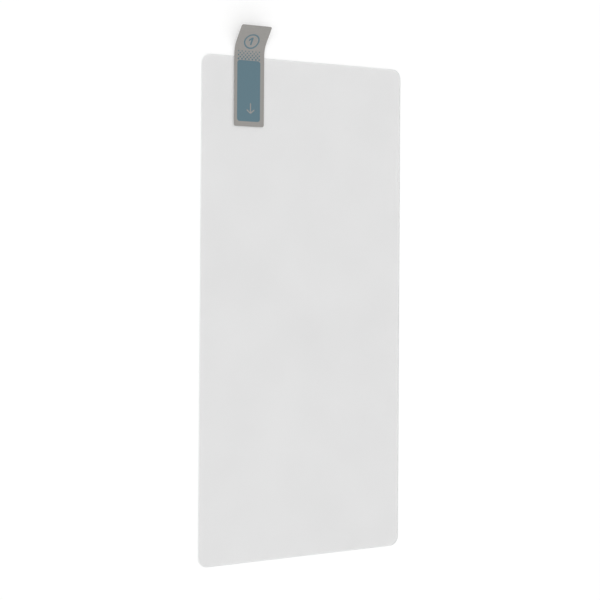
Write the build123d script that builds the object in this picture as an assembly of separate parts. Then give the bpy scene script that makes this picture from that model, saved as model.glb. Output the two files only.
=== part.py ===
from build123d import *
import math
import os

# Phone screen protector, lying on its front face with the adhesive side up.
# A tempered glass pane has its adhesive side covered by a release liner. A pull tab is
# stuck to the liner near the top left corner, runs past the top edge and lifts off in a
# bend. A field of blue print with an arrow left out of it lies on the stuck part of the tab.
# Millimetres. X runs to the right across the pane, Y along it towards the tab, and Z up,
# out of the adhesive side. The origin is the middle of the front face.

# Glass pane, with its adhesive coat bonded to the upper face
PANE_WIDTH = 72.0
PANE_LENGTH = 158.0
PANE_THICKNESS = 0.33
PANE_CORNER_RADIUS = 3.0
PANE_EDGE_ROUND = 0.2  # polished round along the front face
PANE_ARRIS = 0.05  # fine chamfer along the adhesive side

# Release liner, cut a little inside the pane's edge
LINER_THICKNESS = 0.08
LINER_MARGIN = 0.25  # from the pane's arris to the liner's cut edge

# Pull tab
TAB_WIDTH = 10.3
TAB_THICKNESS = 0.1
TAB_FROM_LEFT = 10.95  # from the pane's left side to the tab's left side
TAB_STUCK_LENGTH = 21.45  # lies on the liner
TAB_FLAT_RUN = 0.95  # past the liner's edge, before the bend
TAB_BEND_RADIUS = 6.0  # of the upper face, on the inside of the bend
TAB_BEND_ANGLE = 43.0
TAB_TIP_LENGTH = 5.8  # straight length after the bend
TAB_CORNER_RADIUS = 0.6

# Printed field on the stuck part of the tab
PRINT_THICKNESS = 0.02
PRINT_LEFT_MARGIN = 1.0  # bare tab on the left
PRINT_RIGHT_MARGIN = 1.35  # bare tab on the right
PRINT_LOWER_MARGIN = 1.55  # bare tab at the stuck end
PRINT_UPPER_MARGIN = 0.8  # bare tab up to the liner's edge
PRINT_CORNER_RADIUS = 0.9

# Arrow left out of the print, pointing the way the liner is peeled
ARROW_STROKE = 0.36
ARROW_LENGTH = 3.0
ARROW_HEAD_WIDTH = 2.4
ARROW_HEAD_LENGTH = 1.0
ARROW_FROM_END = 2.6  # from the field's lower end to the arrow's point
ARROW_OFFSET = 0.65  # to the right of the field's middle

# Places that follow from those sizes
LINER_INSET = PANE_ARRIS + LINER_MARGIN
LINER_TOP_EDGE = PANE_LENGTH / 2 - LINER_INSET
LINER_FACE = PANE_THICKNESS + LINER_THICKNESS
TAB_LEFT_SIDE = TAB_FROM_LEFT - PANE_WIDTH / 2
TAB_STUCK_END = LINER_TOP_EDGE - TAB_STUCK_LENGTH
TAB_FACE = LINER_FACE + TAB_THICKNESS


def glass_pane():
    """Rounded pane, flat on its front face at Z = 0, with that face's edge polished round."""
    outline = RectangleRounded(PANE_WIDTH, PANE_LENGTH, PANE_CORNER_RADIUS)
    pane = extrude(outline, PANE_THICKNESS)
    pane = chamfer(pane.faces().sort_by(Axis.Z)[-1].edges(), PANE_ARRIS)
    edge_round = min(PANE_EDGE_ROUND, PANE_THICKNESS - 2 * PANE_ARRIS)
    return fillet(pane.faces().sort_by(Axis.Z)[0].edges(), edge_round)


def release_liner():
    """Peelable film over the adhesive side, with the pane's corners taken in by the inset."""
    outline = RectangleRounded(
        PANE_WIDTH - 2 * LINER_INSET,
        PANE_LENGTH - 2 * LINER_INSET,
        PANE_CORNER_RADIUS - LINER_INSET,
    )
    return Pos(Z=PANE_THICKNESS) * extrude(outline, LINER_THICKNESS)


def tab_line(height, bend_radius):
    """One face of the tab seen from the side, in Y and Z: flat run, bend and straight tip."""
    bend_start = LINER_TOP_EDGE + TAB_FLAT_RUN
    run = Line((TAB_STUCK_END, height), (bend_start, height))
    bend = JernArc(run @ 1, run % 1, bend_radius, TAB_BEND_ANGLE)
    tip = Line(bend @ 1, bend @ 1 + (bend % 1) * TAB_TIP_LENGTH)
    return [run, bend, tip]


def pull_tab():
    """Strip stuck down at one end and bent up at the other, with its corners rounded."""
    under = tab_line(LINER_FACE, TAB_BEND_RADIUS + TAB_THICKNESS)
    upper = tab_line(TAB_FACE, TAB_BEND_RADIUS)
    stuck_end = Line(under[0] @ 0, upper[0] @ 0)
    tip_end = Line(under[-1] @ 1, upper[-1] @ 1)
    section = make_face(under + [tip_end] + upper + [stuck_end])
    strip = extrude(Plane.YZ.offset(TAB_LEFT_SIDE) * section, TAB_WIDTH)
    bend_angle = math.radians(TAB_BEND_ANGLE)
    tip_normal = Axis((0, 0, 0), (0, -math.sin(bend_angle), math.cos(bend_angle)))
    corners = strip.edges().filter_by(Axis.Z) + strip.edges().filter_by(tip_normal)
    return fillet(corners, TAB_CORNER_RADIUS)


def stroke(start, end):
    """A line of the arrow with round ends, between two points of the print's plane."""
    path = Line(start, end)
    direction = path % 0
    angle = math.degrees(math.atan2(direction.Y, direction.X))
    return Pos(path @ 0.5) * SlotCenterToCenter(path.length, ARROW_STROKE, rotation=angle)


def peel_arrow(x, y):
    """Arrow that points down the pane, made of a stem and two barbs that meet at (x, y)."""
    stem = stroke((x, y + ARROW_LENGTH), (x, y))
    left_barb = stroke((x - ARROW_HEAD_WIDTH / 2, y + ARROW_HEAD_LENGTH), (x, y))
    right_barb = stroke((x + ARROW_HEAD_WIDTH / 2, y + ARROW_HEAD_LENGTH), (x, y))
    return stem + left_barb + right_barb


def tab_print():
    """Blue field on the tab's upper face, with the arrow left out so that the tab shows."""
    width = TAB_WIDTH - PRINT_LEFT_MARGIN - PRINT_RIGHT_MARGIN
    length = TAB_STUCK_LENGTH - PRINT_LOWER_MARGIN - PRINT_UPPER_MARGIN
    middle = TAB_LEFT_SIDE + PRINT_LEFT_MARGIN + width / 2
    lower_end = TAB_STUCK_END + PRINT_LOWER_MARGIN
    field = Pos(middle, lower_end + length / 2) * RectangleRounded(width, length, PRINT_CORNER_RADIUS)
    arrow = peel_arrow(middle + ARROW_OFFSET, lower_end + ARROW_FROM_END)
    return Pos(Z=TAB_FACE) * extrude(field - arrow, PRINT_THICKNESS)


NODES = {
    "glass_pane": glass_pane,
    "release_liner": release_liner,
    "pull_tab": pull_tab,
    "tab_print": tab_print,
}

os.makedirs("parts", exist_ok=True)
for name, build in NODES.items():
    export_step(build(), f"parts/{name}.step")
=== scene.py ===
"""Phone screen protector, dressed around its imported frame.

The glass pane, the pull tab and the printed field keep their solids and get their finishes
here. The release liner is drawn as a film of its own, a hair clear of the glass and the tab,
and the fine print on the tab's bent end is added. Everything is in metres, in the frame's
axes: X to the right across the pane, Y along it towards the tab, Z up.
"""

import logging
import math
from dataclasses import dataclass, field
from enum import Enum

import bmesh
import bpy
from bmesh.types import BMesh
from bpy.types import Material, Node, NodeSocket, Object, World
from mathutils import Matrix, Vector


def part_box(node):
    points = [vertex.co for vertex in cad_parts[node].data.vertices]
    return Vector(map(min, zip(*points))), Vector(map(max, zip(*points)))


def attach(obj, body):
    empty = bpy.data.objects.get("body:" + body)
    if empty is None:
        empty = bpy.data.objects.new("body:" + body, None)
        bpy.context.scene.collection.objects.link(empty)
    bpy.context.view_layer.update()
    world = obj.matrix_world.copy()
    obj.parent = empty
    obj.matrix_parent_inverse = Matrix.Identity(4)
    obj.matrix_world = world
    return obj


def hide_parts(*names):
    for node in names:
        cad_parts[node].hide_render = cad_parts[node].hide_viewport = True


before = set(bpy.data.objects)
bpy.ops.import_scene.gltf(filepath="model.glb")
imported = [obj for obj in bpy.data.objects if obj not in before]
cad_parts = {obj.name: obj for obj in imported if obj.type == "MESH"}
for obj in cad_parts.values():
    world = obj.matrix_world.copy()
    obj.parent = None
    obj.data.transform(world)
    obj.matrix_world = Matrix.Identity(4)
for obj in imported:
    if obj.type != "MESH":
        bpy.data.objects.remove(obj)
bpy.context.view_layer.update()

log = logging.getLogger("screen_protector")

MM = 0.001
BODY = "root"

# Red, green and blue
Colour = tuple[float, float, float]
# X, Y and Z of where something points
Direction = tuple[float, float, float]
# A point of a flat outline, across and along
Flat = tuple[float, float]
# The two ends of a range of numbers
Span = tuple[float, float]
# What a node's input takes: a plain value, or the output of another node
Feed = float | tuple[float, ...] | NodeSocket


class Solid(Enum):
    """The frame's solids, by the names that they are packed under."""

    PANE = "glass_pane"
    LINER = "release_liner"
    TAB = "pull_tab"
    PRINT = "tab_print"


class Slot(Enum):
    """Names of material slots for the new pieces, which nothing in this script uses."""

    FILM = "clear_film"
    INK = "blue_ink"


class Graph:
    """An emptied node tree of a material or a world, with short calls to add and join nodes.

    Attributes:
        NOISE: What the values of a noise texture mostly stay between.
    """

    NOISE: Span = (0.3, 0.7)

    def __init__(self, owner: Material | World) -> None:
        """Empty the owner's node tree.

        Args:
            owner: The material or world that the nodes belong to.
        """
        owner.use_nodes = True
        self.nodes = owner.node_tree.nodes
        self.links = owner.node_tree.links
        self.nodes.clear()

    def node(self, kind: str, feeds: dict[str | int, Feed] | None = None, **settings: str) -> Node:
        """Add a node.

        Args:
            kind: Blender's name for the type of node.
            feeds: For each input, a plain value to set or another node's output to link.
            settings: Properties of the node itself.

        Returns:
            The new node.
        """
        node = self.nodes.new(kind)
        for name, setting in settings.items():
            setattr(node, name, setting)
        for name, feed in (feeds or {}).items():
            if isinstance(feed, NodeSocket):
                self.links.new(feed, node.inputs[name])
            else:
                node.inputs[name].default_value = feed
        return node

    def maths(self, operation: str, *feeds: Feed) -> NodeSocket:
        """Add a Math node, with its inputs in order, and return its result."""
        return self.node("ShaderNodeMath", dict(enumerate(feeds)), operation=operation).outputs[0]

    def carry(self, value: NodeSocket, before: Span, after: Span) -> NodeSocket:
        """Add a number that is carried from the range before to the range after, and stays within it."""
        ends = {"From Min": before[0], "From Max": before[1], "To Min": after[0], "To Max": after[1]}
        return self.node("ShaderNodeMapRange", {"Value": value, **ends}).outputs[0]

    def grain(self, size: float, low: float = 0.0, high: float = 1.0, layers: float = 2.0) -> NodeSocket:
        """Add a number that wanders over the surface.

        Args:
            size: About how wide its patches are.
            low: The lowest that it goes.
            high: The highest that it goes.
            layers: How many finer layers are added to the pattern.

        Returns:
            The number.
        """
        place = self.node("ShaderNodeTexCoord").outputs["Object"]
        noise = self.node("ShaderNodeTexNoise", {"Vector": place, "Scale": 1.0 / size, "Detail": layers})
        return self.carry(noise.outputs[0], self.NOISE, (low, high))

    def between(self, share: NodeSocket, first: Colour, last: Colour) -> NodeSocket:
        """Add a colour that goes from one to another.

        Args:
            share: How far along it is, from 0 to 1.
            first: The colour at 0.
            last: The colour at 1.

        Returns:
            The colour.
        """
        ramp = self.node("ShaderNodeValToRGB", {"Fac": share})
        ends = ramp.color_ramp.elements
        ends[0].color = (*first, 1.0)
        ends[1].color = (*last, 1.0)
        return ramp.outputs["Color"]

    def bump(self, height: NodeSocket, depth: float) -> NodeSocket:
        """Add a normal that follows a height over the surface, given as a share of a depth."""
        return self.node("ShaderNodeBump", {"Height": height, "Distance": depth}).outputs[0]

    def mix(self, share: NodeSocket, first: Node, last: Node) -> Node:
        """Add a shader that goes from the first one, at a share of 0, to the last one, at 1."""
        return self.node("ShaderNodeMixShader", {0: share, 1: first.outputs[0], 2: last.outputs[0]})

    def backdrop_rays(self) -> NodeSocket:
        """Pick out the rays that show the background, straight on, mirrored or through glass.

        Returns:
            A number that is 1 for those rays and 0 for all others.
        """
        path = self.node("ShaderNodeLightPath").outputs
        straight_or_mirrored = self.maths("MAXIMUM", path["Is Camera Ray"], path["Is Glossy Ray"])
        return self.maths("MAXIMUM", straight_or_mirrored, path["Is Transmission Ray"])

    def close(self, shader: Node, output: str = "ShaderNodeOutputMaterial") -> None:
        """Join the finished shader to an output node of the kind that is named."""
        self.node(output, {"Surface": shader.outputs[0]})


@dataclass(frozen=True)
class ClearSheet:
    """Clear glass or film, which mirrors more towards a glancing view and is hazy on its cut edge.

    Attributes:
        name: The material's name.
        clear: Share of light that a face lets through where it is clearest.
        cloudy: The same where it is cloudiest.
        cloud_size: How wide the cloudy patches are.
        shine: Share of light that a face mirrors when it is seen straight on.
        smooth: Lowest roughness of what it mirrors.
        dull: Highest roughness of what it mirrors.
        ripple_size: How wide the ripples in the face are.
        ripple_depth: How deep those ripples are.
        cut_edge: Colour of the cut or ground edge.
        edge_smooth: Lowest roughness of that edge.
        edge_dull: Highest roughness of that edge.
        edge_haze: Share of that edge's look which is its own, and not the clear sheet's.
        edge_turn: Upward part of the normal where the edge ends, and where the face begins.
        glance_power: How late and steeply the mirrored share grows towards a glancing view.
    """

    name: str
    clear: Colour
    cloudy: Colour
    cloud_size: float
    shine: float
    smooth: float
    dull: float
    ripple_size: float
    ripple_depth: float
    cut_edge: Colour
    edge_smooth: float
    edge_dull: float
    edge_haze: float = 0.7
    edge_turn: Span = (0.35, 0.75)
    glance_power: float = 5.0

    def material(self) -> Material:
        """Make the material.

        Returns:
            The new material.
        """
        made = bpy.data.materials.new(self.name)
        graph = Graph(made)
        tint = graph.between(graph.grain(self.cloud_size), self.clear, self.cloudy)
        through = graph.node("ShaderNodeBsdfTransparent", {"Color": tint})
        ripple = graph.bump(graph.grain(self.ripple_size), self.ripple_depth)
        polish = graph.grain(self.cloud_size, self.smooth, self.dull)
        mirror = graph.node("ShaderNodeBsdfAnisotropic", {"Roughness": polish, "Normal": ripple})
        face = graph.mix(self.mirrored(graph), through, mirror)
        grind = graph.grain(self.cloud_size, self.edge_smooth, self.edge_dull)
        hazy = {"Base Color": (*self.cut_edge, 1.0), "Roughness": grind}
        edge = graph.node("ShaderNodeBsdfPrincipled", hazy)
        graph.close(graph.mix(self.on_edge(graph), face, edge))
        return made

    def mirrored(self, graph: Graph) -> NodeSocket:
        """Add the share of light that a face mirrors.

        Args:
            graph: The material's nodes.

        Returns:
            The share, which grows from the face's shine to all of the light.
        """
        glancing = graph.node("ShaderNodeLayerWeight").outputs["Facing"]
        growth = graph.maths("POWER", glancing, self.glance_power)
        return graph.maths("MULTIPLY_ADD", growth, 1.0 - self.shine, self.shine)

    def on_edge(self, graph: Graph) -> NodeSocket:
        """Add the share of the look that is the cut edge's.

        Args:
            graph: The material's nodes.

        Returns:
            The share, which is the edge's haze where the sheet stands upright and 0 on its faces.
        """
        normal = graph.node("ShaderNodeNewGeometry").outputs["True Normal"]
        upward = graph.node("ShaderNodeSeparateXYZ", {0: normal}).outputs["Z"]
        return graph.carry(graph.maths("ABSOLUTE", upward), self.edge_turn, (self.edge_haze, 0.0))


@dataclass(frozen=True)
class SatinCoat:
    """Opaque satin film or ink, with a fine grain in its colour and its shine.

    Attributes:
        name: The material's name.
        dark: Colour in the darkest grain.
        light: Colour in the lightest grain.
        grain_size: How wide the grain is.
        patch_size: How wide the smoother and duller patches are.
        smooth: Lowest roughness.
        dull: Highest roughness.
        relief: Height of the grain.
        grain_layers: How many finer layers the grain has.
    """

    name: str
    dark: Colour
    light: Colour
    grain_size: float
    patch_size: float
    smooth: float
    dull: float
    relief: float
    grain_layers: float = 4.0

    def material(self) -> Material:
        """Make the material.

        Returns:
            The new material.
        """
        made = bpy.data.materials.new(self.name)
        graph = Graph(made)
        grain = graph.grain(self.grain_size, layers=self.grain_layers)
        satin = graph.node(
            "ShaderNodeBsdfPrincipled",
            {
                "Base Color": graph.between(grain, self.dark, self.light),
                "Roughness": graph.grain(self.patch_size, self.smooth, self.dull),
                "Normal": graph.bump(grain, self.relief),
            },
        )
        graph.close(satin)
        return made


@dataclass(frozen=True)
class FloorPaint:
    """Plain pale floor, lifted to white for the rays that show the background.

    Attributes:
        name: The material's name.
        paint: Colour of the floor.
        lift: Light added for those rays alone.
    """

    name: str = "floor_paint"
    paint: Colour = (0.9, 0.9, 0.9)
    lift: float = 0.12

    def material(self) -> Material:
        """Make the material.

        Returns:
            The new material.
        """
        made = bpy.data.materials.new(self.name)
        graph = Graph(made)
        matt = graph.node("ShaderNodeBsdfDiffuse", {"Color": (*self.paint, 1.0)})
        strength = graph.maths("MULTIPLY", graph.backdrop_rays(), self.lift)
        glow = graph.node("ShaderNodeEmission", {"Strength": strength})
        graph.close(graph.node("ShaderNodeAddShader", {0: matt.outputs[0], 1: glow.outputs[0]}))
        return made


TEMPERED_GLASS = ClearSheet(
    name="tempered_glass",
    clear=(0.979, 0.979, 0.979),
    cloudy=(0.974, 0.974, 0.974),
    cloud_size=30.0 * MM,
    shine=0.025,
    smooth=0.01,
    dull=0.03,
    ripple_size=25.0 * MM,
    ripple_depth=0.002 * MM,
    cut_edge=(0.56, 0.61, 0.6),
    edge_smooth=0.25,
    edge_dull=0.35,
)
LINER_FILM = ClearSheet(
    name="liner_film",
    clear=(0.98, 0.98, 0.98),
    cloudy=(0.973, 0.973, 0.973),
    cloud_size=18.0 * MM,
    shine=0.02,
    smooth=0.05,
    dull=0.12,
    ripple_size=9.0 * MM,
    ripple_depth=0.01 * MM,
    cut_edge=(0.7, 0.7, 0.7),
    edge_smooth=0.4,
    edge_dull=0.56,
)
GREY_TAB = SatinCoat(
    name="grey_tab_film",
    dark=(0.271, 0.261, 0.247),
    light=(0.305, 0.295, 0.281),
    grain_size=0.25 * MM,
    patch_size=1.5 * MM,
    smooth=0.38,
    dull=0.48,
    relief=0.002 * MM,
)
BLUE_INK = SatinCoat(
    name="blue_screen_ink",
    dark=(0.083, 0.154, 0.19),
    light=(0.103, 0.182, 0.22),
    grain_size=0.18 * MM,
    patch_size=1.08 * MM,
    smooth=0.4,
    dull=0.52,
    relief=0.003 * MM,
)


def circle(x: float, y: float, radius: float, steps: int) -> list[Flat]:
    """Draw a circle.

    Args:
        x: Middle across.
        y: Middle along.
        radius: Its radius.
        steps: Straight steps in it.

    Returns:
        Its points, counter-clockwise.
    """
    turns = (2 * math.pi * step / steps for step in range(steps))
    return [(x + radius * math.cos(turn), y + radius * math.sin(turn)) for turn in turns]


def add_prism(mesh: BMesh, outline: list[Flat], base: float, height: float) -> None:
    """Add an upright prism to a mesh in progress.

    Args:
        mesh: The mesh.
        outline: Corners of the prism's base, counter-clockwise.
        base: Height of its lower face.
        height: Distance to its upper face.
    """
    lower = [mesh.verts.new((x, y, base)) for x, y in outline]
    upper = [mesh.verts.new((x, y, base + height)) for x, y in outline]
    mesh.faces.new(reversed(lower))
    mesh.faces.new(upper)
    for i in range(len(outline)):
        mesh.faces.new((lower[i - 1], lower[i], upper[i], upper[i - 1]))


def add_ring(mesh: BMesh, outer: list[Flat], inner: list[Flat], base: float, height: float) -> None:
    """Add a flat ring to a mesh in progress.

    Args:
        mesh: The mesh.
        outer: Points of its outer edge, counter-clockwise.
        inner: As many points of its inner edge, beside those of the outer one.
        base: Height of its lower face.
        height: Distance to its upper face.
    """
    top = base + height
    edges = ((outer, base), (outer, top), (inner, top), (inner, base))
    loops = [[mesh.verts.new((x, y, z)) for x, y in edge] for edge, z in edges]
    for here, there in zip(loops, loops[1:] + loops[:1]):
        for i in range(len(outer)):
            mesh.faces.new((here[i - 1], here[i], there[i], there[i - 1]))


def new_piece(name: str, mesh_in_progress: BMesh) -> Object:
    """Turn a mesh in progress into a piece that rides on the protector.

    Args:
        name: The piece's name.
        mesh_in_progress: Its mesh, which is used up.

    Returns:
        The new piece.
    """
    bmesh.ops.recalc_face_normals(mesh_in_progress, faces=mesh_in_progress.faces)
    mesh = bpy.data.meshes.new(name)
    mesh_in_progress.to_mesh(mesh)
    mesh_in_progress.free()
    piece = bpy.data.objects.new(name, mesh)
    bpy.context.scene.collection.objects.link(piece)
    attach(piece, BODY)
    return piece


def coat(pieces: list[Object], material: Material) -> None:
    """Give pieces one finish all over.

    Args:
        pieces: The pieces.
        material: Their finish.
    """
    for piece in pieces:
        piece.data.materials.clear()
        piece.data.materials.append(material)


@dataclass
class GlassPane:
    """The glass, which keeps its solid.

    Attributes:
        finish: Its finish.
    """

    finish: ClearSheet = TEMPERED_GLASS

    def build(self) -> list[Object]:
        """Return the pane's solid as it is."""
        return [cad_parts[Solid.PANE.value]]

    def dress(self, pieces: list[Object]) -> None:
        """Give the pane its finish."""
        coat(pieces, self.finish.material())


@dataclass
class ReleaseLiner:
    """The film over the adhesive, in the place of its solid.

    Attributes:
        corner_radius: Radius of its four corners.
        corner_steps: Straight steps in each corner.
        clearance: Gap left to the glass below and to the tab above.
        finish: Its finish.
    """

    corner_radius: float = 2.7 * MM
    corner_steps: int = 24
    clearance: float = 0.005 * MM
    finish: ClearSheet = LINER_FILM

    def outline(self, low: Vector, high: Vector) -> list[Flat]:
        """Draw the liner's edge.

        Args:
            low: Lowest corner of its box.
            high: Highest corner of its box.

        Returns:
            Points of a rounded rectangle, counter-clockwise.
        """
        radius = self.corner_radius
        centres = (
            (high.x - radius, high.y - radius),
            (low.x + radius, high.y - radius),
            (low.x + radius, low.y + radius),
            (high.x - radius, low.y + radius),
        )
        points = []
        for quarter, (x, y) in enumerate(centres):
            for step in range(self.corner_steps + 1):
                turn = (quarter + step / self.corner_steps) * math.pi / 2
                points.append((x + radius * math.cos(turn), y + radius * math.sin(turn)))
        return points

    def build(self) -> list[Object]:
        """Draw the liner.

        Returns:
            The liner alone.
        """
        low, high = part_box(Solid.LINER.value)
        under = low.z + self.clearance
        thickness = high.z - low.z - 2 * self.clearance
        sheet = bmesh.new()
        add_prism(sheet, self.outline(low, high), under, thickness)
        liner = new_piece("liner_sheet", sheet)
        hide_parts(Solid.LINER.value)
        return [liner]

    def dress(self, pieces: list[Object]) -> None:
        """Give the liner its finish."""
        coat(pieces, self.finish.material())


@dataclass
class PullTab:
    """The tab and the field of print on it, which keep their solids, and the way its face bends.

    Attributes:
        bend_radius: Radius of the upper face in the bend.
        bend_angle: How far the tab turns up.
        finish: Finish of the tab.
        ink: Finish of the print.
        field_low: Lowest corner of the printed field, read from the frame.
        field_high: Highest corner of that field.
        middle: Middle of the tab across.
        bend_start: Where along the frame the bend starts.
        ink_material: The print's finish, which all the print on the tab shares.
    """

    bend_radius: float = 6.0 * MM
    bend_angle: float = math.radians(43.0)
    finish: SatinCoat = GREY_TAB
    ink: SatinCoat = BLUE_INK
    field_low: Vector = field(init=False)
    field_high: Vector = field(init=False)
    middle: float = field(init=False)
    bend_start: float = field(init=False)
    ink_material: Material = field(init=False)

    def __post_init__(self) -> None:
        """Read where the tab lies from the frame, and make the ink."""
        low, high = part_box(Solid.TAB.value)
        self.field_low, self.field_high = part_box(Solid.PRINT.value)
        self.middle = (low.x + high.x) / 2
        bend_rise = self.bend_radius * (1.0 - math.cos(self.bend_angle))
        tip_length = (high.z - self.face - bend_rise) / math.sin(self.bend_angle)
        under_radius = self.bend_radius + self.face - low.z
        bend_reach = under_radius * math.sin(self.bend_angle)
        self.bend_start = high.y - bend_reach - tip_length * math.cos(self.bend_angle)
        self.ink_material = self.ink.material()

    @property
    def face(self) -> float:
        """Return the height of the tab's upper face where it lies flat."""
        return self.field_low.z

    @property
    def ink_thickness(self) -> float:
        """Return the thickness of the print."""
        return self.field_high.z - self.field_low.z

    def bent(self, flat: Vector) -> Vector:
        """Carry a point from the tab laid flat to the tab as it is bent.

        Args:
            flat: X across the frame, Y along the face from the start of the bend, Z off the face.

        Returns:
            The point in the frame.
        """
        along, rise = flat.y, flat.z
        turn = min(max(along / self.bend_radius, 0.0), self.bend_angle)
        straight = along - turn * self.bend_radius
        radius = self.bend_radius - rise
        y = radius * math.sin(turn) + straight * math.cos(turn)
        z = self.bend_radius - radius * math.cos(turn) + straight * math.sin(turn)
        return Vector((flat.x, self.bend_start + y, self.face + z))

    def build(self) -> list[Object]:
        """Return the solids of the tab and of its printed field as they are."""
        return [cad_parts[solid.value] for solid in (Solid.TAB, Solid.PRINT)]

    def dress(self, pieces: list[Object]) -> None:
        """Give the tab and its printed field their finishes.

        Args:
            pieces: The tab and the field, as build returns them.
        """
        tab, printed_field = pieces
        coat([tab], self.finish.material())
        coat([printed_field], self.ink_material)


@dataclass
class TabMarks:
    """Fine print on the tab's bent end: a ring with the number of the step, and a fading band of dots.

    Attributes:
        tab: The tab that they lie on.
        ring_along: Middle of the ring, from the start of the bend.
        ring_radius: Outer radius of the ring.
        ring_steps: Straight steps in the ring.
        line: Width of the ring's line.
        numeral_height: Height of the number.
        numeral_stem: Width of its stem and of its flag.
        numeral_flag: How far its flag reaches to the left, and as far down.
        dot_gap: From the printed field to the middle of the first row of dots.
        dot_pitch: Distance between the dots of a row, and between every second row.
        dot_rows: Rows of dots above the printed field.
        dot_steps: Straight steps in each dot.
        largest_dot: Radius of the dots beside the field.
        smallest_dot: Radius of the dots in the last row.
        sunk: How far the print reaches into the tab.
        slice_length: Length of the pieces that the marks are cut into before they are bent.
        snap: How near a corner lies to a cut that then goes through it.
    """

    tab: PullTab
    ring_along: float = 4.5 * MM
    ring_radius: float = 2.6 * MM
    ring_steps: int = 72
    line: float = 0.45 * MM
    numeral_height: float = 2.7 * MM
    numeral_stem: float = 0.55 * MM
    numeral_flag: float = 0.75 * MM
    dot_gap: float = 0.42 * MM
    dot_pitch: float = 1.2 * MM
    dot_rows: int = 5
    dot_steps: int = 20
    largest_dot: float = 0.3 * MM
    smallest_dot: float = 0.2 * MM
    sunk: float = 0.01 * MM
    slice_length: float = 0.2 * MM
    snap: float = 0.002 * MM

    def ink_layer(self) -> tuple[float, float]:
        """Return the height at which the print begins on the tab laid flat, and its whole thickness."""
        return -self.sunk, self.sunk + self.tab.ink_thickness

    def bend(self, mesh: BMesh) -> None:
        """Cut flat marks into short pieces and lay them on the bent tab.

        Args:
            mesh: The marks, drawn on the tab laid flat.
        """
        along = (0.0, 1.0, 0.0)
        reach = [vert.co.y for vert in mesh.verts]
        cut = min(reach) + self.slice_length
        while cut < max(reach):
            parts = mesh.verts[:] + mesh.edges[:] + mesh.faces[:]
            place = (0.0, cut, 0.0)
            bmesh.ops.bisect_plane(mesh, geom=parts, dist=self.snap, plane_co=place, plane_no=along)
            cut += self.slice_length
        for vert in mesh.verts:
            vert.co = self.tab.bent(vert.co)

    def numeral(self) -> list[Flat]:
        """Draw the figure one, with a flag to its left.

        Returns:
            Its corners, counter-clockwise.
        """
        x, y = self.tab.middle, self.ring_along
        left = x - self.numeral_stem / 2
        right = x + self.numeral_stem / 2
        top = y + self.numeral_height / 2
        foot = y - self.numeral_height / 2
        flag_end = left - self.numeral_flag
        # The flag slopes at 45 degrees, so this depth makes it as wide as the stem
        flag_depth = self.numeral_stem * math.sqrt(2.0)
        return [
            (left, foot),
            (right, foot),
            (right, top),
            (left, top),
            (flag_end, top - self.numeral_flag),
            (flag_end, top - self.numeral_flag - flag_depth),
            (left, top - flag_depth),
        ]

    def step_mark(self) -> Object:
        """Draw the ring and its number.

        Returns:
            Both as one piece.
        """
        base, height = self.ink_layer()
        marks = bmesh.new()
        outer = circle(self.tab.middle, self.ring_along, self.ring_radius, self.ring_steps)
        inner = circle(self.tab.middle, self.ring_along, self.ring_radius - self.line, self.ring_steps)
        add_ring(marks, outer, inner, base, height)
        add_prism(marks, self.numeral(), base, height)
        self.bend(marks)
        return new_piece("step_mark", marks)

    def dot_band(self) -> Object:
        """Draw rows of dots that shrink away from the printed field.

        Returns:
            All the dots as one piece.
        """
        base, height = self.ink_layer()
        width = self.tab.field_high.x - self.tab.field_low.x
        middle = self.tab.field_low.x + width / 2
        first_row = self.tab.field_high.y - self.tab.bend_start + self.dot_gap
        in_full_row = 1 + int((width - 2 * self.largest_dot) / self.dot_pitch)
        dots = bmesh.new()
        for row in range(self.dot_rows):
            shrink = row / (self.dot_rows - 1)
            radius = self.largest_dot + (self.smallest_dot - self.largest_dot) * shrink
            y = first_row + row * self.dot_pitch / 2
            in_row = in_full_row - row % 2
            for i in range(in_row):
                x = middle + (i - (in_row - 1) / 2) * self.dot_pitch
                add_prism(dots, circle(x, y, radius, self.dot_steps), base, height)
        self.bend(dots)
        return new_piece("halftone_dots", dots)

    def build(self) -> list[Object]:
        """Draw the marks and return them."""
        return [self.step_mark(), self.dot_band()]

    def dress(self, pieces: list[Object]) -> None:
        """Give the marks the same ink as the printed field."""
        coat(pieces, self.tab.ink_material)


@dataclass(frozen=True)
class Lamp:
    """A soft lamp that hangs far away.

    Attributes:
        name: The lamp's name.
        level: Light that it adds to a level surface.
        towards: Direction from the protector to the lamp.
        spread: How wide the lamp looks from the floor.
    """

    name: str
    level: float
    towards: Direction
    spread: float

    def hang(self) -> None:
        """Add the lamp to the scene."""
        direction = Vector(self.towards).normalized()
        data = bpy.data.lights.new(self.name, "SUN")
        # A sun of strength pi straight overhead gives a level surface a light of 1
        data.energy = self.level * math.pi / direction.z
        data.angle = self.spread
        lamp = bpy.data.objects.new(self.name, data)
        lamp.rotation_euler = direction.to_track_quat("Z", "Y").to_euler()
        lamp.location = direction
        bpy.context.scene.collection.objects.link(lamp)


KEY_LAMP = Lamp("key_lamp", level=0.3, towards=(-0.47, -0.1, 0.88), spread=math.radians(40.0))
FILL_LAMP = Lamp("fill_lamp", level=0.04, towards=(0.0, -0.9, 0.45), spread=math.radians(60.0))


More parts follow.
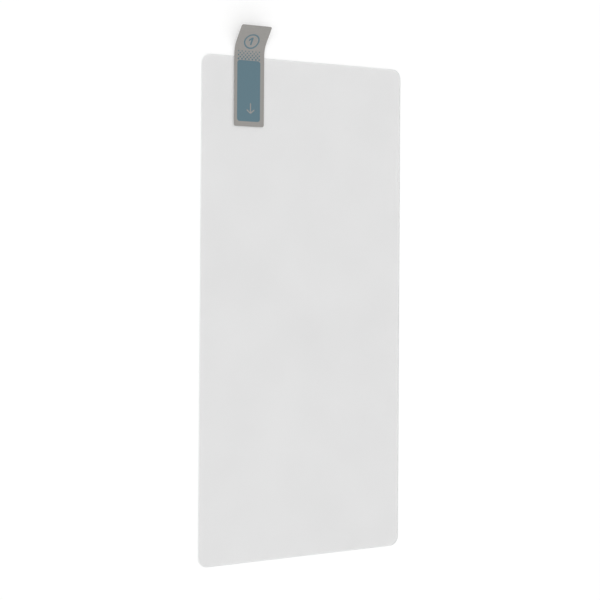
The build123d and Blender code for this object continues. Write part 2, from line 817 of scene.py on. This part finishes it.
@dataclass
class Studio:
    """Pale floor, soft light and the camera.

    Attributes:
        floor_size: Side of the floor.
        floor_drop: How far the floor lies below the pane.
        sky: Level of the light that comes from all round.
        backdrop: Level of the white that shows behind everything.
        lamps: The lamps, of which the main one hangs near the camera and the other in front.
        camera_place: Where the camera stands.
        camera_target: What it points at.
        camera_roll: How far it is turned about its line of sight.
        camera_shift: How far the frame is moved up in the lens's view, as a share of its side.
        camera_near: Distance from which it sees things.
        lens: Focal length in millimetres, for a sensor 36 mm wide.
    """

    floor_size: float = 6.0
    floor_drop: float = 0.05 * MM
    sky: float = 0.66
    backdrop: float = 1.0
    lamps: tuple[Lamp, ...] = (KEY_LAMP, FILL_LAMP)
    camera_place: Vector = field(default_factory=lambda: Vector((-191.15, 17.25, 360.4)) * MM)
    camera_target: Vector = field(default_factory=lambda: Vector((-1.45, 21.9, 0.25)) * MM)
    camera_roll: float = math.radians(0.366)
    camera_shift: float = -0.1
    camera_near: float = 10.0 * MM
    lens: float = 76.4

    def floor(self) -> None:
        """Lay the floor."""
        mesh = bmesh.new()
        bmesh.ops.create_grid(mesh, size=self.floor_size / 2)
        data = bpy.data.meshes.new("floor")
        mesh.to_mesh(data)
        mesh.free()
        floor = bpy.data.objects.new("floor", data)
        floor.location.z = -self.floor_drop
        bpy.context.scene.collection.objects.link(floor)
        coat([floor], FloorPaint().material())

    def world(self) -> None:
        """Light the scene from all round, with white behind it."""
        world = bpy.data.worlds.new("studio")
        graph = Graph(world)
        white = (1.0, 1.0, 1.0, 1.0)
        light = graph.node("ShaderNodeBackground", {"Color": white, "Strength": self.sky})
        shown = graph.node("ShaderNodeBackground", {"Color": white, "Strength": self.backdrop})
        graph.close(graph.mix(graph.backdrop_rays(), light, shown), "ShaderNodeOutputWorld")
        bpy.context.scene.world = world

    def camera(self) -> None:
        """Set the camera up, with the pane's length upright in its view."""
        data = bpy.data.cameras.new("camera")
        data.lens = self.lens
        data.shift_y = self.camera_shift
        data.clip_start = self.camera_near
        camera = bpy.data.objects.new("camera", data)
        along_pane = Vector((0.0, 1.0, 0.0))
        sight = (self.camera_target - self.camera_place).normalized()
        right = sight.cross(along_pane).normalized()
        up = right.cross(sight)
        axes = Matrix((right, up, -sight)).transposed().to_4x4()
        roll = Matrix.Rotation(self.camera_roll, 4, "Z")
        camera.matrix_world = Matrix.Translation(self.camera_place) @ axes @ roll
        bpy.context.scene.collection.objects.link(camera)
        bpy.context.scene.camera = camera

    def build(self) -> None:
        """Set up the floor, the light and the camera."""
        self.floor()
        self.world()
        for lamp in self.lamps:
            lamp.hang()
        self.camera()
        bpy.context.scene.view_settings.view_transform = "Standard"


def main() -> None:
    """Build the protector piece by piece, then the studio around it."""
    logging.basicConfig(level=logging.INFO, format="%(name)s: %(message)s")
    tab = PullTab()
    for sub_assembly in (GlassPane(), ReleaseLiner(), tab, TabMarks(tab)):
        pieces = sub_assembly.build()
        sub_assembly.dress(pieces)
        for piece in pieces:
            faces = len(piece.data.polygons)
            log.info("%s: %s with %d faces", type(sub_assembly).__name__, piece.name, faces)
    Studio().build()


if __name__ == "__main__":
    main()
